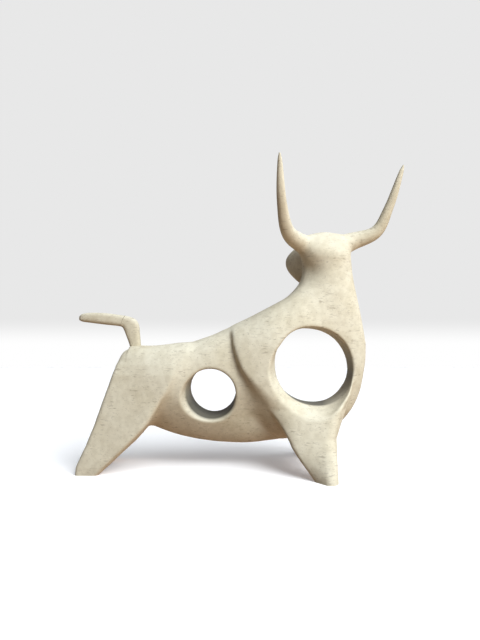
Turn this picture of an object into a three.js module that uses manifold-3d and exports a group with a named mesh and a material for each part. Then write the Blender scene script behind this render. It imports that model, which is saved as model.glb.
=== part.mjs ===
// A standing bull in cast stone, 24 cm long, with a round opening through its barrel and another through
// its chest. It is built of blocks that meet at the creases of its figure and are held by dowels.
// Millimetres, +Z up. The bull faces +X with its right side towards -Y, and turns its head to +Y.
import * as THREE from "three";
import { mergeVertices } from "three/addons/utils/BufferGeometryUtils.js";
import Module from "manifold-3d";

const wasm = await Module();
wasm.setup();

// Joints
const JOINT_GAP = 0.3; // the bonding joint between two blocks
const DOWEL_CLEARANCE = 0.3; // round a dowel and past its ends
const CUT_REACH = 300; // how far a cutter reaches, past everything it cuts

// Outline from the side: heights of the belly and of the back along the body
const OUTLINE = [
  { x: -90, belly: 52, back: 77 },
  { x: -86.5, belly: 45, back: 85.5 },
  { x: -80, belly: 38, back: 89 },
  { x: -62, belly: 30, back: 89.8 },
  { x: -40, belly: 22.8, back: 92.6 },
  { x: -18, belly: 19.2, back: 99.8 },
  { x: 6, belly: 18.5, back: 111 },
  { x: 30, belly: 21, back: 123.6 },
  { x: 48, belly: 24, back: 133 },
  { x: 68, belly: 28, back: 131 },
  { x: 81.5, belly: 43, back: 124 },
  { x: 89, belly: 57, back: 111 },
  { x: 93.2, belly: 74, back: 95 },
];

// Half widths along each block, and how much its flank draws in towards the belly
const HINDQUARTER = {
  keel: 0.1,
  halves: [
    { x: -90, half: 11 },
    { x: -84, half: 14.5 },
    { x: -76, half: 17.4 },
    { x: -60, half: 19.2 },
    { x: -30, half: 20.8 },
  ],
};
const BARREL = {
  keel: 0.55,
  halves: [
    { x: -80, half: 19.5 },
    { x: -50, half: 20 },
    { x: -25, half: 20.8 },
    { x: 0, half: 20.2 },
    { x: 40, half: 21 },
  ],
};
const FOREQUARTER = {
  keel: 0.2,
  halves: [
    { x: -16, half: 23.5 },
    { x: 20, half: 27 },
    { x: 36, half: 25.5 },
    { x: 55, half: 20.5 },
    { x: 70, half: 14.8 },
    { x: 82, half: 11 },
    { x: 88, half: 8.6 },
    { x: 93.2, half: 4.8 },
  ],
};
const BODY_SQUARENESS = 2.8; // 2 is a round section, more is squarer
const BODY_STEP = 6;
const BODY_SIDES = 28;

// Where the head sits on the neck. Everything from the foot of the neck to the horns' tips is given by
// its rise above this joint.
const NECK_JOINT = { height: 147, slope: -33 };

// Neck, from inside the chest to the crown
const NECK = [
  { rise: -51, rear: 33, front: 90.5, half: 12 },
  { rise: -32, rear: 36, front: 89.8, half: 14.8 },
  { rise: -19, rear: 40, front: 87.2, half: 15.4 },
  { rise: -10, rear: 44.4, front: 85.2, half: 14.6 },
  { rise: -3, rear: 46.6, front: 84, half: 14 },
  { rise: 4, rear: 47.3, front: 83.2, half: 14.2 },
  { rise: 11, rear: 47.5, front: 82.5, half: 14.6 },
  { rise: 18, rear: 47.2, front: 81.8, half: 12.8 },
  { rise: 25, rear: 47.4, front: 80.2, half: 8.6 },
  { rise: 27, rear: 50.4, front: 77.2, half: 6 },
  { rise: 27.9, rear: 57, front: 71, half: 3.4 },
];
const NECK_SQUARENESS = 2.2;
const NECK_STEP = 3;

// Creases that part the blocks, from the belly up to the back
const SHOULDER_CREASE = [
  { z: 24, x: 28.6 },
  { z: 36, x: 22.8 },
  { z: 51, x: 12.6 },
  { z: 69, x: 2.8 },
  { z: 87, x: -4 },
  { z: 104, x: -7 },
];
const HAUNCH_CREASE = [
  { z: 20, x: -74 },
  { z: 35, x: -63.5 },
  { z: 60, x: -48.5 },
  { z: 78, x: -41 },
  { z: 96, x: -38 },
];
const CREASE_STEP = 6;

// Openings: a straight throat, and outside it a bowl that has widened by its flare, dropped and moved
// back where it reaches the flank
const LARGE_OPENING = { x: 53.7, z: 75.6, radius: 28.2, throat: 10.5, flare: 0.2, drop: 8.4, back: 4 };
const SMALL_OPENING = { x: -20.4, z: 57.1, radius: 17.3, throat: 8, flare: 2.2, drop: 3, back: 2.3 };
const LARGE_FLANK = 27; // how far out from the middle of the body each bowl is measured
const SMALL_FLANK = 20.5;
const OPENING_SIDES = 40;

// Legs, each as four corners at several heights: rear outer, front outer, front inner, rear inner
const FORELEG = [
  { z: 0, corners: [[48.3, 34.5], [58.5, 51.8], [67, 42.5], [57.5, 27.5]] },
  { z: 12, corners: [[39.3, 31.8], [60, 45], [67.4, 36.5], [52, 19.5]] },
  { z: 27, corners: [[29.6, 28.8], [62.5, 36.6], [68, 26], [41, 9]] },
  { z: 46, corners: [[17, 24.5], [68.4, 30.5], [76.8, 14], [22, -1]] },
  { z: 55, corners: [[12, 24.8], [75.6, 23.5], [81, 10], [18, -1]] },
  { z: 64, corners: [[7, 24.5], [81.4, 15.4], [83.6, 6], [14, -1]] },
  { z: 78, corners: [[3, 19], [78, 8], [80, 3], [12, -1]] },
];
const HINDLEG = [
  { z: 0, corners: [[-115, 25], [-101, 25], [-101.4, 12.5], [-114, 12.5]] },
  { z: 5.6, corners: [[-115.3, 24.2], [-94.2, 25.4], [-93, 10.5], [-113.8, 11]] },
  { z: 20, corners: [[-109.4, 22.8], [-79, 25.4], [-77.4, 5], [-107.6, 6]] },
  { z: 36, corners: [[-103.4, 21.4], [-62.6, 25.2], [-61.4, -1], [-102, -1]] },
  { z: 60, corners: [[-95.2, 19.4], [-49.4, 23.4], [-49.4, -1], [-94, -1]] },
  { z: 70, corners: [[-92, 18], [-46, 22], [-46, -1], [-91, -1]] },
  { z: 77, corners: [[-89.8, 15.2], [-46, 19.4], [-46, -1], [-89, -1]] },
  { z: 83, corners: [[-86.4, 10.4], [-46, 14.8], [-46, -1], [-86, -1]] },
];
const CORNER_ROUNDING = 0.32; // share of each side taken up by its corner's curve
const FORELEG_JOINT = { top: 33, inner: 9 }; // the leg's top face, and the face beside the brisket
const HINDLEG_JOINT = { top: 37, inner: 0 };

// Head: where it turns, which way the muzzle points, and its sections along that way
const HEAD = { x: 64.3, y: 1.8, turn: 38 };
const MUZZLE = [
  { along: -9, chin: 4, brow: 23, half: 8 },
  { along: 6, chin: -9, brow: 24.5, half: 10.8 },
  { along: 20, chin: -9.6, brow: 24, half: 11.2 },
  { along: 31, chin: -2.4, brow: 19.4, half: 9.4 },
  { along: 39, chin: 6, brow: 14.5, half: 5.6 },
];
const HEAD_SQUARENESS = 2.3;
const HEAD_STEP = 6;
const HEAD_SIDES = 24;

// Horns: the axis of each from inside the head to its tip as x, y and rise, and its radius along it
const HORN_LEFT = [
  [55, -0.5, 17.5],
  [44.2, -6.9, 20.1],
  [33.4, -23, 24.6],
  [28.4, -34.5, 41],
  [25.9, -45.9, 70.8],
];
const HORN_RIGHT = [
  [72, -1, 18],
  [84.8, 3, 22.2],
  [102.6, 1.4, 29.4],
  [110.6, -3.4, 46.2],
  [118.9, -11, 75],
];
const HORN_RADII = [
  { along: 0, radius: 8 },
  { along: 0.14, radius: 6.9 },
  { along: 0.3, radius: 5.5 },
  { along: 0.45, radius: 4.4 },
  { along: 0.6, radius: 3.5 },
  { along: 0.8, radius: 2.6 },
  { along: 0.95, radius: 1.5 },
  { along: 1, radius: 0.5 },
];
const HORN_JOINT = 0.24; // where along its axis the horn meets its boss on the head
const HORN_STEPS = 18;
const HORN_SIDES = 12;

// Tail: its two edges read from the side, front then top and rear then underside, and its half thickness
const TAIL = [
  { outer: [-74.2, 84.5], inner: [-81.6, 84.5], half: 3.6 },
  { outer: [-74.4, 91], inner: [-82.6, 91], half: 3.6 },
  { outer: [-75.2, 100], inner: [-85.6, 99.4], half: 3.8 },
  { outer: [-75.8, 105.8], inner: [-86.8, 102.4], half: 3.9 },
  { outer: [-78, 109.8], inner: [-87.6, 103.8], half: 3.9 },
  { outer: [-82.6, 112.2], inner: [-88.4, 104.6], half: 3.9 },
  { outer: [-91, 113.7], inner: [-91.4, 105.3], half: 4 },
  { outer: [-101.7, 115], inner: [-101.7, 106.4], half: 4 },
  { outer: [-112, 115.2], inner: [-112, 107.7], half: 3.6 },
  { outer: [-117.8, 114.4], inner: [-117.8, 108.5], half: 2.8 },
  { outer: [-120.2, 112.6], inner: [-120.2, 109.6], half: 1.4 },
];
const TAIL_SQUARENESS = 3.2;
const TAIL_SIDES = 16;
const TAIL_SEAM = -88;

// Dowels, with the place of each where its joint doesn't give it
const DOWEL_SIDES = 16;
const FORELEG_DOWEL = { radius: 2.5, length: 16, centre: [48.5, 23, 31.5], way: [-9, -15, 34] };
const HINDLEG_DOWEL = { radius: 2.5, length: 22, centre: [-84, 11, 37], way: [23, -5, 40] };
const BODY_DOWEL = { radius: 3, length: 22 };
const SHOULDER_DOWELS = { upper: 91, lower: 31 };
const HAUNCH_DOWELS = { upper: 82, lower: 44 };
const NECK_DOWEL = { radius: 4, length: 28 };
const HORN_DOWEL = { radius: 1.5, length: 12 };
const TAIL_DOWEL = { radius: 1.2, length: 11 };

// Materials
const STONE = { color: 0xddd2bd, roughness: 0.9, metalness: 0 };
const STEEL = { color: 0x9a9a98, roughness: 0.4, metalness: 1 };

// A manifold solid from a closed geometry, whichever way its faces point.
function solid(geometry) {
  const bare = geometry.clone();
  bare.deleteAttribute("normal");
  bare.deleteAttribute("uv");
  const merged = mergeVertices(bare, 1e-4);
  const vertProperties = merged.attributes.position.array;
  const triVerts = new Uint32Array(merged.index.array);
  const made = new wasm.Manifold(new wasm.Mesh({ numProp: 3, vertProperties, triVerts }));
  if (made.volume() > 0) {
    return made;
  }
  triVerts.reverse();
  return new wasm.Manifold(new wasm.Mesh({ numProp: 3, vertProperties, triVerts }));
}

// A solid through rings of equally many points, closed by a flat fan at each end.
function loft(rings) {
  const count = rings[0].length;
  const points = rings.flat();
  const index = [];
  for (let r = 0; r + 1 < rings.length; r += 1) {
    for (let i = 0; i < count; i += 1) {
      const a = r * count + i;
      const b = r * count + ((i + 1) % count);
      index.push(a, b, b + count, a, b + count, a + count);
    }
  }
  const lastRing = (rings.length - 1) * count;
  const firstHub = points.length;
  for (const ring of [rings[0], rings.at(-1)]) {
    const hub = new THREE.Vector3();
    ring.forEach((p) => hub.add(p));
    points.push(hub.divideScalar(count));
  }
  for (let i = 0; i < count; i += 1) {
    const next = (i + 1) % count;
    index.push(firstHub, next, i);
    index.push(firstHub + 1, lastRing + i, lastRing + next);
  }
  const geometry = new THREE.BufferGeometry().setFromPoints(points);
  geometry.setIndex(index);
  return solid(geometry);
}

// A rounded square or oval of the given half sizes, as points in its own plane.
function superellipse(halfAcross, halfUp, squareness, sides) {
  const bend = (value) => Math.sign(value) * Math.abs(value) ** (2 / squareness);
  return Array.from({ length: sides }, (_, i) => {
    const angle = (2 * Math.PI * i) / sides;
    return [halfAcross * bend(Math.cos(angle)), halfUp * bend(Math.sin(angle))];
  });
}

// The value of one key at a place along a list, on a smooth curve through the list's entries.
function smooth(list, placeKey, valueKey, place) {
  const last = list.length - 1;
  const after = list.findIndex((entry) => entry[placeKey] >= place);
  const i = THREE.MathUtils.clamp(after < 0 ? last - 1 : after - 1, 0, last - 1);
  const slope = (k) => {
    const before = list[Math.max(k - 1, 0)];
    const next = list[Math.min(k + 1, last)];
    return (next[valueKey] - before[valueKey]) / (next[placeKey] - before[placeKey]);
  };
  const span = list[i + 1][placeKey] - list[i][placeKey];
  const t = THREE.MathUtils.clamp((place - list[i][placeKey]) / span, 0, 1);
  const rise = list[i + 1][valueKey] - list[i][valueKey];
  const lead = span * slope(i) - rise;
  const lag = rise - span * slope(i + 1);
  return list[i][valueKey] + t * rise + t * (1 - t) * ((1 - t) * lead + t * lag);
}

// Evenly spaced places from one end to the other, with both ends.
function spread(from, to, step) {
  const count = Math.max(2, Math.round((to - from) / step));
  return Array.from({ length: count + 1 }, (_, i) => from + ((to - from) * i) / count);
}

// An upright section of the body at x: squarish, drawn in below its middle by the block's keel.
function bodySection(block, x) {
  const belly = smooth(OUTLINE, "x", "belly", x);
  const back = smooth(OUTLINE, "x", "back", x);
  const half = smooth(block.halves, "x", "half", x);
  const middle = (belly + back) / 2;
  const halfUp = (back - belly) / 2;
  return superellipse(half, halfUp, BODY_SQUARENESS, BODY_SIDES).map(([y, up]) => {
    const below = Math.max(0, -up / halfUp);
    return new THREE.Vector3(x, y * (1 - block.keel * below ** 1.5), middle + up);
  });
}

function bodyBlock(block) {
  const from = block.halves[0].x;
  const to = block.halves.at(-1).x;
  return loft(spread(from, to, BODY_STEP).map((x) => bodySection(block, x)));
}

function neck() {
  return loft(
    spread(NECK[0].rise, NECK.at(-1).rise, NECK_STEP).map((rise) => {
      const rear = smooth(NECK, "rise", "rear", rise);
      const front = smooth(NECK, "rise", "front", rise);
      const half = smooth(NECK, "rise", "half", rise);
      const ring = superellipse((front - rear) / 2, half, NECK_SQUARENESS, BODY_SIDES);
      const z = NECK_JOINT.height + rise;
      return ring.map(([x, y]) => new THREE.Vector3((rear + front) / 2 + x, y, z));
    }),
  );
}

// A ring through corners, each turned by a short curve.
function roundedRing(corners) {
  return corners.flatMap((corner, i) => {
    const before = corners.at(i - 1);
    const next = corners[(i + 1) % corners.length];
    const curve = new THREE.QuadraticBezierCurve3(
      corner.clone().lerp(before, CORNER_ROUNDING),
      corner,
      corner.clone().lerp(next, CORNER_ROUNDING),
    );
    return curve.getPoints(3);
  });
}

// A leg on the right side (-1) or the left side (+1), from its sole up into its quarter.
function leg(sections, side) {
  return loft(
    sections.map(({ z, corners }) =>
      roundedRing(corners.map(([x, out]) => new THREE.Vector3(x, side * out, z))),
    ),
  );
}

// A cutter through the whole width, over a region drawn from the side.
function region(points) {
  const shape = new THREE.Shape(points.map(([x, z]) => new THREE.Vector2(x, z)));
  const geometry = new THREE.ExtrudeGeometry(shape, { depth: 2 * CUT_REACH, bevelEnabled: false });
  geometry.rotateX(Math.PI / 2);
  geometry.translate(0, CUT_REACH, 0);
  return solid(geometry);
}

// Everything ahead (+1) of a crease, or behind it (-1), on its own side of the bonding joint.
function besideCrease(crease, way) {
  const heights = spread(crease[0].z, crease.at(-1).z, CREASE_STEP);
  const line = heights.map((z) => [smooth(crease, "z", "x", z) + (way * JOINT_GAP) / 2, z]);
  const first = line[0][0];
  const last = line.at(-1)[0];
  const far = way * CUT_REACH;
  return region([
    [first, -CUT_REACH],
    ...line,
    [last, CUT_REACH],
    [far, CUT_REACH],
    [far, -CUT_REACH],
  ]);
}

// The space below a leg's joint on one side, kept or cleared with half the bonding joint.
function legSpace({ top, inner }, sign, clearance) {
  const box = new THREE.BoxGeometry(2 * CUT_REACH, CUT_REACH, CUT_REACH);
  box.translate(0, sign * (inner - clearance + CUT_REACH / 2), top + clearance - CUT_REACH / 2);
  return solid(box);
}

// A round way through the body along Y: its straight throat and the bowl towards each flank.
function opening({ x, z, radius, throat, flare, drop, back }, flank) {
  const end = 2 * flank;
  const ring = (y, out) => {
    const wide = radius + flare * out;
    return superellipse(wide, wide, 2, OPENING_SIDES).map(
      ([across, up]) => new THREE.Vector3(x - back * out + across, y, z - drop * out + up),
    );
  };
  const straight = loft([ring(-end, 0), ring(end, 0)]);
  const outAtEnd = (end - throat) / (flank - throat);
  const bowls = [-1, 1].map((side) => loft([ring(side * throat, 0), ring(side * end, outAtEnd)]));
  return bowls.reduce((sum, bowl) => sum.add(bowl), straight);
}

// The muzzle and the skull, along the way that the head faces.
function skull() {
  const turn = THREE.MathUtils.degToRad(HEAD.turn);
  const ahead = new THREE.Vector3(-Math.sin(turn), Math.cos(turn), 0);
  const across = new THREE.Vector3(Math.cos(turn), Math.sin(turn), 0);
  return loft(
    spread(MUZZLE[0].along, MUZZLE.at(-1).along, HEAD_STEP).map((along) => {
      const chin = smooth(MUZZLE, "along", "chin", along);
      const brow = smooth(MUZZLE, "along", "brow", along);
      const half = smooth(MUZZLE, "along", "half", along);
      const ring = superellipse(half, (brow - chin) / 2, HEAD_SQUARENESS, HEAD_SIDES);
      const z = NECK_JOINT.height + (chin + brow) / 2;
      const middle = new THREE.Vector3(HEAD.x, HEAD.y, z).addScaledVector(ahead, along);
      return ring.map(([side, up]) =>
        middle.clone().addScaledVector(across, side).add(new THREE.Vector3(0, 0, up)),
      );
    }),
  );
}

// The half space above or below the joint between neck and head.
function neckSide(above) {
  const slope = THREE.MathUtils.degToRad(NECK_JOINT.slope);
  const box = new THREE.BoxGeometry(CUT_REACH, CUT_REACH, CUT_REACH);
  box.translate(0, 0, (above * (CUT_REACH + JOINT_GAP)) / 2);
  box.rotateX(slope);
  box.translate(0, 0, NECK_JOINT.height);
  return solid(box);
}

// A horn's axis.
function hornCurve(points) {
  return new THREE.CatmullRomCurve3(
    points.map(([x, y, rise]) => new THREE.Vector3(x, y, NECK_JOINT.height + rise)),
  );
}

// A horn, or the boss that it stands on, between two places along its axis.
function hornPart(points, from, to) {
  const axis = hornCurve(points);
  const reference = new THREE.Vector3(0, 1, 0);
  return loft(
    spread(from, to, 1 / HORN_STEPS).map((along) => {
      const centre = axis.getPointAt(along);
      const way = axis.getTangentAt(along);
      const side = new THREE.Vector3().crossVectors(reference, way).normalize();
      const up = new THREE.Vector3().crossVectors(way, side);
      const radius = smooth(HORN_RADII, "along", "radius", along);
      return superellipse(radius, radius, 2, HORN_SIDES).map(([a, b]) =>
        centre.clone().addScaledVector(side, a).addScaledVector(up, b),
      );
    }),
  );
}

// The tail from the foot of its stem to its tip, with a clearance round it where it makes its own socket.
function tail(stations, clearance = 0) {
  return loft(
    stations.map(({ outer, inner, half }) => {
      const middle = new THREE.Vector3((outer[0] + inner[0]) / 2, 0, (outer[1] + inner[1]) / 2);
      const across = new THREE.Vector3(outer[0], 0, outer[1]).sub(middle);
      const wide = across.length() + clearance;
      across.normalize();
      return superellipse(wide, half + clearance, TAIL_SQUARENESS, TAIL_SIDES).map(([a, y]) =>
        middle.clone().addScaledVector(across, a).add(new THREE.Vector3(0, y, 0)),
      );
    }),
  );
}

// The stem's socket, from under its foot to clear above the rump.
function tailSocket() {
  const [foot, neckOfStem] = TAIL;
  const lower = ([x, z]) => [x, z - JOINT_GAP];
  const bottom = { ...foot, outer: lower(foot.outer), inner: lower(foot.inner) };
  return tail([bottom, neckOfStem], JOINT_GAP);
}

// A dowel, or with a clearance the hole for it, about a centre and along a direction.
function rod({ radius, length }, centre, way, clearance = 0) {
  const direction = new THREE.Vector3(...way).normalize();
  const height = length + 2 * clearance;
  const cylinder = new THREE.CylinderGeometry(radius + clearance, radius + clearance, height, DOWEL_SIDES);
  const turn = new THREE.Quaternion().setFromUnitVectors(new THREE.Vector3(0, 1, 0), direction);
  cylinder.applyQuaternion(turn);
  cylinder.translate(...centre);
  return solid(cylinder);
}

// A piece of the figure with its own material.
function mesh(name, made, look) {
  const { vertProperties, triVerts } = made.getMesh();
  const geometry = new THREE.BufferGeometry();
  geometry.setAttribute("position", new THREE.BufferAttribute(vertProperties, 3));
  geometry.setIndex(new THREE.BufferAttribute(triVerts, 1));
  geometry.computeVertexNormals();
  const piece = new THREE.Mesh(geometry, new THREE.MeshStandardMaterial(look));
  piece.name = name;
  return piece;
}

const SIDES = [
  { name: "right", sign: -1, hornAxis: HORN_RIGHT },
  { name: "left", sign: 1, hornAxis: HORN_LEFT },
];

// The three body blocks, with the legs' upper ends, before the joints are cut
const foreBody = bodyBlock(FOREQUARTER).add(neck());
const foreWhole = SIDES.reduce((sum, { sign }) => sum.add(leg(FORELEG, sign)), foreBody)
  .intersect(besideCrease(SHOULDER_CREASE, 1))
  .subtract(opening(LARGE_OPENING, LARGE_FLANK));
const hindWhole = SIDES.reduce((sum, { sign }) => sum.add(leg(HINDLEG, sign)), bodyBlock(HINDQUARTER))
  .intersect(besideCrease(HAUNCH_CREASE, -1))
  .subtract(tailSocket());
const barrel = bodyBlock(BARREL)
  .intersect(besideCrease(HAUNCH_CREASE, 1))
  .intersect(besideCrease(SHOULDER_CREASE, -1))
  .subtract(opening(SMALL_OPENING, SMALL_FLANK));

const stones = { barrel, forequarter: foreWhole.intersect(neckSide(-1)), hindquarter: hindWhole };
for (const { name, sign } of SIDES) {
  const half = JOINT_GAP / 2;
  stones[`foreleg_${name}`] = foreWhole.intersect(legSpace(FORELEG_JOINT, sign, -half));
  stones.forequarter = stones.forequarter.subtract(legSpace(FORELEG_JOINT, sign, half));
  stones[`hindleg_${name}`] = hindWhole.intersect(legSpace(HINDLEG_JOINT, sign, -half));
  stones.hindquarter = stones.hindquarter.subtract(legSpace(HINDLEG_JOINT, sign, half));
}

// The head with its two horn bosses, and the horns
stones.head = neck().add(skull());
for (const { name, hornAxis: points } of SIDES) {
  const gap = JOINT_GAP / hornCurve(points).getLength();
  stones.head = stones.head.add(hornPart(points, 0, HORN_JOINT));
  stones[`horn_${name}`] = hornPart(points, HORN_JOINT + gap, 1);
}
stones.head = stones.head.intersect(neckSide(1));

// The tail in two pieces
const tailSeam = [{ z: 0, x: TAIL_SEAM }, { z: TAIL[0].outer[1], x: TAIL_SEAM }];
stones.tail_stem = tail(TAIL).intersect(besideCrease(tailSeam, 1));
stones.tail_tip = tail(TAIL).intersect(besideCrease(tailSeam, -1));

// The dowels, and their holes in every stone piece
const dowels = [];
function dowel(name, size, centre, way) {
  dowels.push({ name, made: rod(size, centre, way), hole: rod(size, centre, way, DOWEL_CLEARANCE) });
}
for (const { name, sign, hornAxis: points } of SIDES) {
  for (const [joined, size] of Object.entries({ foreleg: FORELEG_DOWEL, hindleg: HINDLEG_DOWEL })) {
    const mirrored = ([x, out, z]) => [x, sign * out, z];
    dowel(`${joined}_dowel_${name}`, size, mirrored(size.centre), mirrored(size.way));
  }
  const axis = hornCurve(points);
  dowel(`horn_dowel_${name}`, HORN_DOWEL, axis.getPointAt(HORN_JOINT), axis.getTangentAt(HORN_JOINT));
}
for (const [place, z] of Object.entries(SHOULDER_DOWELS)) {
  dowel(`shoulder_dowel_${place}`, BODY_DOWEL, [smooth(SHOULDER_CREASE, "z", "x", z), 0, z], [1, 0, 0]);
}
for (const [place, z] of Object.entries(HAUNCH_DOWELS)) {
  dowel(`haunch_dowel_${place}`, BODY_DOWEL, [smooth(HAUNCH_CREASE, "z", "x", z), 0, z], [1, 0, 0]);
}
const neckTilt = THREE.MathUtils.degToRad(NECK_JOINT.slope);
const neckWay = [0, -Math.sin(neckTilt), Math.cos(neckTilt)];
dowel("neck_dowel", NECK_DOWEL, [HEAD.x, 0, NECK_JOINT.height], neckWay);
const stemFoot = TAIL[0];
const footX = (stemFoot.outer[0] + stemFoot.inner[0]) / 2;
dowel("tail_root_dowel", TAIL_DOWEL, [footX, 0, stemFoot.outer[1]], [0, 0, 1]);
const seam = [...TAIL].reverse().map(({ outer, inner }) => ({
  x: (outer[0] + inner[0]) / 2,
  z: (outer[1] + inner[1]) / 2,
}));
dowel("tail_tip_dowel", TAIL_DOWEL, [TAIL_SEAM, 0, smooth(seam, "x", "z", TAIL_SEAM)], [1, 0, 0]);

const bull = new THREE.Group();
for (const [name, made] of Object.entries(stones)) {
  const drilled = dowels.reduce((sum, { hole }) => sum.subtract(hole), made);
  bull.add(mesh(name, drilled, STONE));
}
for (const { name, made } of dowels) {
  bull.add(mesh(name, made, STEEL));
}

// The origin lies on the ground under the middle of the whole figure
const middle = new THREE.Box3().setFromObject(bull).getCenter(new THREE.Vector3());
bull.position.set(-middle.x, -middle.y, 0);

export default bull;
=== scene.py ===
import math

import bpy
import numpy as np
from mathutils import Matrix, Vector
from mathutils.geometry import tessellate_polygon


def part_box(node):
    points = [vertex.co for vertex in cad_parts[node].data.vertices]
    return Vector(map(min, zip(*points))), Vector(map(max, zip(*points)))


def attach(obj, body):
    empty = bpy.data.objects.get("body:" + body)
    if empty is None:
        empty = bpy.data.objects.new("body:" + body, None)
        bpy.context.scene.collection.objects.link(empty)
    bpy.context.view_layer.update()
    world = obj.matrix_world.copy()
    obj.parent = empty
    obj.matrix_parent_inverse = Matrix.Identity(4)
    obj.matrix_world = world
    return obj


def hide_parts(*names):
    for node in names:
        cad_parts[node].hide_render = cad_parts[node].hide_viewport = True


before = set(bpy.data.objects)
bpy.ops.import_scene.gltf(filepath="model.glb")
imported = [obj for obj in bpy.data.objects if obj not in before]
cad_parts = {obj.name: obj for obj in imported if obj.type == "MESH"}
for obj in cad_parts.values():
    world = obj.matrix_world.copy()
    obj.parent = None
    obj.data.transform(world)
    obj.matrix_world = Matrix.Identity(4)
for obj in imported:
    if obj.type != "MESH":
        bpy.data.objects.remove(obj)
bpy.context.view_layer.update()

# The stone is carved from smooth fields on a grid, in millimetres in the figure's own coordinates, and
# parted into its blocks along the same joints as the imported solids. X forward, Y to its left, Z up.
MM = 0.001
VOXEL = 0.8
TAIL_END = -120.2
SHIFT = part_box("tail_tip")[0].x / MM - TAIL_END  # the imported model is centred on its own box

# Camera: level, straight at the right side, at less than half the figure's height. Its clip distances
# are in metres.
CAMERA_BACK = 360.0
CAMERA_HEIGHT = 96.3
CAMERA_LENS = 27.0
CAMERA_RISE = 18 / 640  # the horizon lies this share of the frame's height below its middle
CAMERA_CLIP = 0.01, 20

# Side outline of the body: x, belly, back
OUTLINE = [
    (-90, 52, 77), (-86.5, 45, 85.5), (-80, 38, 87.8), (-62, 30, 88.3), (-40, 22.8, 92.2),
    (-18, 19.2, 99.8), (6, 18.5, 111), (30, 21, 123.6), (48, 24, 133), (68, 28, 131),
    (81.5, 41, 124), (89, 55.6, 111), (93.2, 74, 95),
]
# Blocks of the body: the share by which the section draws in towards the belly, how square it is, and
# its half widths as x, half
HINDQUARTER = {
    "keel": 0.1, "squareness": 3.0,
    "halves": [(-90, 11), (-84, 14.5), (-76, 17.4), (-60, 19.2), (-30, 20.6)],
}
BARREL = {
    "keel": 0.55, "squareness": 2.7,
    "halves": [(-80, 10), (-66, 17), (-50, 20.4), (-20, 20.8), (10, 21.4), (40, 22)],
}
FOREQUARTER = {
    "keel": 0.2, "squareness": 2.7,
    "halves": [
        (-16, 23.5), (20, 27), (36, 25.5), (55, 20.5), (70, 14.8), (82, 11), (88, 8.6), (93.2, 4.8),
    ],
}
KEEL_POWER = 1.5  # how gently the drawing in starts
BLOCK_END = 4  # rounding at the two ends of a block

# Neck, from its joint with the head: rise, rear, front, half
NECK_HEIGHT = 147.0
NECK_TILT = math.radians(-33)
NECK = [
    (-82, 44, 82, 5), (-66, 38, 88.5, 8.5), (-51, 33, 90.5, 12), (-32, 36, 89.8, 14.8),
    (-19, 40, 87.2, 15.4), (-10, 44.4, 85.2, 14.6), (-3, 46.6, 84, 14), (4, 47.3, 83.2, 14.2),
    (11, 47.5, 82.5, 15), (18, 47.2, 81.8, 14.6), (24, 47, 81.4, 12.8), (28, 47, 81.2, 11),
]
NECK_SQUARENESS = 2.1
NECK_TOP, NECK_FOOT = 8, 4  # rounding at its two ends
# Crown: its middle and top, and how much it falls so far along and across
CROWN = {"x": 63.5, "top": 175.5, "long": 14.5, "wide": 13.0, "fall": 4.2, "drop": 11.0}
# Nape: the hollow on its near side, and how far from the middle it is in full
NAPE = {"x": 51.5, "z": 144.5, "wide": 8.0, "high": 7.5, "deep": 2.4, "fade": 8}
# Brow: the swelling at the left horn's root
BROW_CENTRE, BROW_RADIUS = (56.0, -2.5, 161.0), 10.4

# Creases from the belly up to the back: z, x
SHOULDER_CREASE = [(24, 28.6), (36, 22.8), (51, 12.6), (69, 2.8), (87, -4), (104, -7)]
HAUNCH_CREASE = [(20, -74), (35, -63.5), (60, -48.5), (78, -41), (96, -38)]
CREASE_SLOPE = 0.85  # distance to a crease for each millimetre along x
# At the shoulder crease the barrel draws in by grooves (deep, wide), a hollow lies behind the crease's
# foot, and below it the forequarter's rear face slants from the flank in. Pairs of heights go from none
# to full.
GROOVES = ((1.2, 9), (0.3, 3.2))
GROOVE_HEIGHTS = ((40, 60), (101, 96))
HOLLOW = {"deep": 2.0, "behind": 8, "wide": 18, "heights": ((66, 48), (27, 39))}
SLANT = {"steep": 1.1, "flank": 20.5, "heights": ((76, 48), (20, 46))}
# Fillets between forms, and three that widen with height: least, more, and the heights
FILLETS = {
    "hindleg": 4.0, "haunch": 6.0, "neck": 7.0, "foreleg": 3.0, "skull": 1.6, "brow": 5.0, "boss": 3.6,
    "rim": 2.0,
}
BARREL_FILLET = (4.0, 4, (42, 66))
FORE_EDGE = (3, 5, (72, 42))
CREASE_FILLET = (1.6, 4, (76, 52), (25, 37))

# Openings: a straight throat, and outside it a bowl that is lower and a little to the rear, on the far
# side by other shares of the way. The painted shade is how dark the throat's wall is painted, and where
# it goes from full to none: so far out from the wall, and so far past the throat.
LARGE_OPENING = {
    "x": 53.7, "z": 75.6, "radius": 28.2, "throat": 10.5, "flank": 27.0,
    "back": 4.6, "drop": 5.8, "flare": 0.6, "skew": 0.04, "power": 2.15, "far": (0.2, 1.5, 2.0),
    "dark": 0.9, "out": (0.9, 2.4), "past": (-2.0, 3.0),
}
SMALL_OPENING = {
    "x": -20.4, "z": 57.1, "radius": 17.3, "throat": 7.0, "flank": 20.5,
    "back": 2.9, "drop": 6.0, "flare": 2.0, "skew": 0.02, "power": 2.0, "far": (0.3, 0.0, 0.2),
    "dark": 0.95, "out": (1.7, 3.3), "past": (4.5, 8.0),
}
OPENINGS = (LARGE_OPENING, SMALL_OPENING)
BOWL_START, BOWL_LIMIT = 0.12, 1.8  # how gently a bowl starts, and how far past the flank it goes on
BOWL_EDGE = 0.6  # fillet between throat and bowl
OPENING_ROOM, OPENING_DEEP = 14, 45  # the box it is carved in: past its radius, and to either side
# The painted shade's share at the top of a wall, and the heights of least and full, in shares of the
# radius
THROAT_SHADE_LEAST, THROAT_SHADE_TOP, THROAT_SHADE_FOOT = 0.1, 0.9, -0.5

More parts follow.
